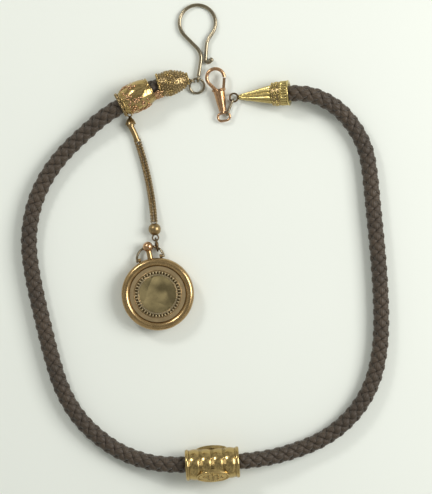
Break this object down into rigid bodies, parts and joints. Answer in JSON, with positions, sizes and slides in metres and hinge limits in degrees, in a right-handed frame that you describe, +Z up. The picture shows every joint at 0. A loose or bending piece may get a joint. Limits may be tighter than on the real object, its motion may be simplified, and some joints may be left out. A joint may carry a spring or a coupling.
{
  "type": "pocket watch fob",
  "caption": "Braided cord watch chain with a buttonhole hook, swivel clip, barrel slide and a round compass fob on a woven drop chain.",
  "frame": {"origin": "centre of the fob's glass face, where it lies on the table", "axes": "+Z up from the table, +Y from the slide towards the hook, +X to the right as pictured from above"},
  "size_m": [0.1224, 0.1587, 0.0115],
  "materials": {
    "silk_braid": "braided silk",
    "yellow_gold_fill": "polished gold fill",
    "granulated_gold": "polished pellets",
    "engraved_medallion": "satin, engraved",
    "pale_gold_wire": "polished wire",
    "rose_gold": "polished rose gold",
    "aged_gold": "worn gold",
    "bronze_gold": "polished bronze gold",
    "clear_glass": "clear",
    "white_card": "printed card",
    "blued_steel": "blued",
    "brass_cap": "turned"
  },
  "bodies": {
    "cord": {"braided_cord": "silk_braid", "clasp_cord_end": "silk_braid", "clasp_dome": "yellow_gold_fill", "dome_pellet_ring": "granulated_gold", "clasp_saddle": "yellow_gold_fill", "clasp_cap": "yellow_gold_fill", "cap_pellet_ring": "granulated_gold", "cap_end_band": "yellow_gold_fill", "cap_eye": "yellow_gold_fill", "drop_eye": "yellow_gold_fill", "cone_shell": "yellow_gold_fill", "cone_band": "yellow_gold_fill", "cone_reeded_band": "yellow_gold_fill", "cone_eye": "yellow_gold_fill"},
    "slide": {"slide_tube": "yellow_gold_fill", "slide_barrel": "yellow_gold_fill", "slide_rim_left": "yellow_gold_fill", "slide_rim_right": "yellow_gold_fill", "medallion_front": "engraved_medallion", "medallion_back": "engraved_medallion", "medallion_bezel_front": "yellow_gold_fill", "medallion_bezel_back": "yellow_gold_fill"},
    "jump_ring": {"jump_ring": "yellow_gold_fill"},
    "hook": {"wire_hook": "pale_gold_wire", "hook_ball": "pale_gold_wire"},
    "drop_cap": {"drop_cap": "aged_gold", "neck_band": "aged_gold", "drop_ferrule": "aged_gold"},
    "chain_1": {"chain_links_1": "aged_gold"},
    "chain_2": {"chain_links_2": "aged_gold"},
    "chain_3": {"chain_links_3": "aged_gold"},
    "chain_4": {"chain_links_4": "aged_gold"},
    "chain_5": {"chain_links_5": "aged_gold"},
    "chain_6": {"chain_links_6": "aged_gold"},
    "chain_7": {"chain_links_7": "aged_gold"},
    "drop_bead": {"drop_bead": "aged_gold"},
    "fob_link": {"fob_link": "aged_gold"},
    "fob_bow": {"fob_bow": "aged_gold"},
    "fob_case": {"case_band": "bronze_gold", "back_panel": "bronze_gold", "milled_ring": "bronze_gold", "step_ring": "bronze_gold", "centre_boss": "bronze_gold", "pendant_stem": "bronze_gold", "crown_ball": "rose_gold", "glass_bezel": "bronze_gold", "crystal": "clear_glass", "compass_card": "white_card", "pivot_post": "blued_steel"},
    "needle": {"compass_needle": "blued_steel", "needle_cap": "brass_cap"},
    "oval_link": {"oval_link": "yellow_gold_fill"},
    "swivel_bail": {"swivel_bail": "rose_gold"},
    "swivel_body": {"swivel_body": "rose_gold", "swivel_hook": "rose_gold", "swivel_collar": "rose_gold", "gate_pin": "rose_gold", "gate_spring": "blued_steel"},
    "swivel_gate": {"swivel_gate": "rose_gold"}
  },
  "joints": [
    {"name": "slide_along_cord", "type": "slide", "parent": "cord", "child": "slide", "axis": [0.9979, 0.0645, 0], "range_m": [-0.0025, 0.0025]},
    {"name": "jump_ring_lift", "type": "hinge", "parent": "cord", "child": "jump_ring", "pos_m": [0.01124, 0.07086, 0.00154], "axis": [-0.7071, -0.7071, 0], "range_deg": [0, 45]},
    {"name": "hook_lift", "type": "hinge", "parent": "jump_ring", "child": "hook", "pos_m": [0.01333, 0.07152, 0.00152], "axis": [0.982, -0.1472, -0.1182], "range_deg": [0, 110]},
    {"name": "drop_swing", "type": "hinge", "parent": "cord", "child": "drop_cap", "pos_m": [-0.00947, 0.05999, 0.00188], "axis": [0, 0, 1], "range_deg": [-15, 15]},
    {"name": "chain_swing_1", "type": "hinge", "parent": "drop_cap", "child": "chain_1", "pos_m": [-0.00664, 0.05022, 0.00108], "axis": [0, 0, 1], "range_deg": [-5, 5]},
    {"name": "chain_lift_1", "type": "hinge", "parent": "chain_1", "child": "chain_2", "pos_m": [-0.0055, 0.04659, 0.00108], "axis": [0.9592, 0.2826, 0], "range_deg": [-15, 15]},
    {"name": "chain_swing_2", "type": "hinge", "parent": "chain_2", "child": "chain_3", "pos_m": [-0.00448, 0.04293, 0.00108], "axis": [0, 0, 1], "range_deg": [-5, 5]},
    {"name": "chain_lift_2", "type": "hinge", "parent": "chain_3", "child": "chain_4", "pos_m": [-0.00359, 0.03924, 0.00108], "axis": [0.9765, 0.2155, 0], "range_deg": [-15, 15]},
    {"name": "chain_swing_3", "type": "hinge", "parent": "chain_4", "child": "chain_5", "pos_m": [-0.00283, 0.03552, 0.00108], "axis": [0, 0, 1], "range_deg": [-5, 5]},
    {"name": "chain_lift_3", "type": "hinge", "parent": "chain_5", "child": "chain_6", "pos_m": [-0.0022, 0.03178, 0.00126], "axis": [0.9891, 0.1474, 0], "range_deg": [-15, 15]},
    {"name": "chain_swing_4", "type": "hinge", "parent": "chain_6", "child": "chain_7", "pos_m": [-0.0017, 0.02806, 0.00188], "axis": [-0.0159, 0.1398, 0.99], "range_deg": [-5, 5]},
    {"name": "chain_lift_4", "type": "hinge", "parent": "chain_7", "child": "drop_bead", "pos_m": [-0.00133, 0.02429, 0.00212], "axis": [0.9969, 0.0785, 0], "range_deg": [-15, 15]},
    {"name": "fob_link_swing", "type": "hinge", "parent": "drop_bead", "child": "fob_link", "pos_m": [-0.00085, 0.01872, 0.00212], "axis": [0, 0, 1], "range_deg": [-20, 20]},
    {"name": "bow_shift", "type": "hinge", "parent": "fob_link", "child": "fob_bow", "pos_m": [-0.00253, 0.01186, 0.00291], "axis": [-0.0976, 0.4592, 0.8829], "range_deg": [-8, 20]},
    {"name": "fob_fold", "type": "hinge", "parent": "fob_bow", "child": "fob_case", "pos_m": [-0.00249, 0.01169, 0.003], "axis": [0.9781, 0.2079, 0], "range_deg": [0, 35]},
    {"name": "needle_spin", "type": "hinge", "parent": "fob_case", "child": "needle", "pos_m": [-0.00001, 0, 0.002], "axis": [0, 0, 1], "continuous": true},
    {"name": "oval_link_swing", "type": "hinge", "parent": "cord", "child": "oval_link", "pos_m": [0.02521, 0.06531, 0.00155], "axis": [0, 0, 1], "range_deg": [-25, 2]},
    {"name": "bail_lift", "type": "hinge", "parent": "oval_link", "child": "swivel_bail", "pos_m": [0.02323, 0.06014, 0.00155], "axis": [0.8706, -0.4879, -0.0627], "range_deg": [0, 60]},
    {"name": "swivel_spin", "type": "hinge", "parent": "swivel_bail", "child": "swivel_body", "pos_m": [0.02017, 0.06812, 0.00238], "axis": [-0.1831, 0.9782, 0.0976], "continuous": true},
    {"name": "gate_open", "type": "hinge", "parent": "swivel_body", "child": "swivel_gate", "pos_m": [0.02173, 0.06766, 0.00231], "axis": [0.018, -0.0959, 0.9952], "range_deg": [0, 30], "stiffness_Nm_per_rad": 0.0004, "springref_deg": -5.73}
  ]
}
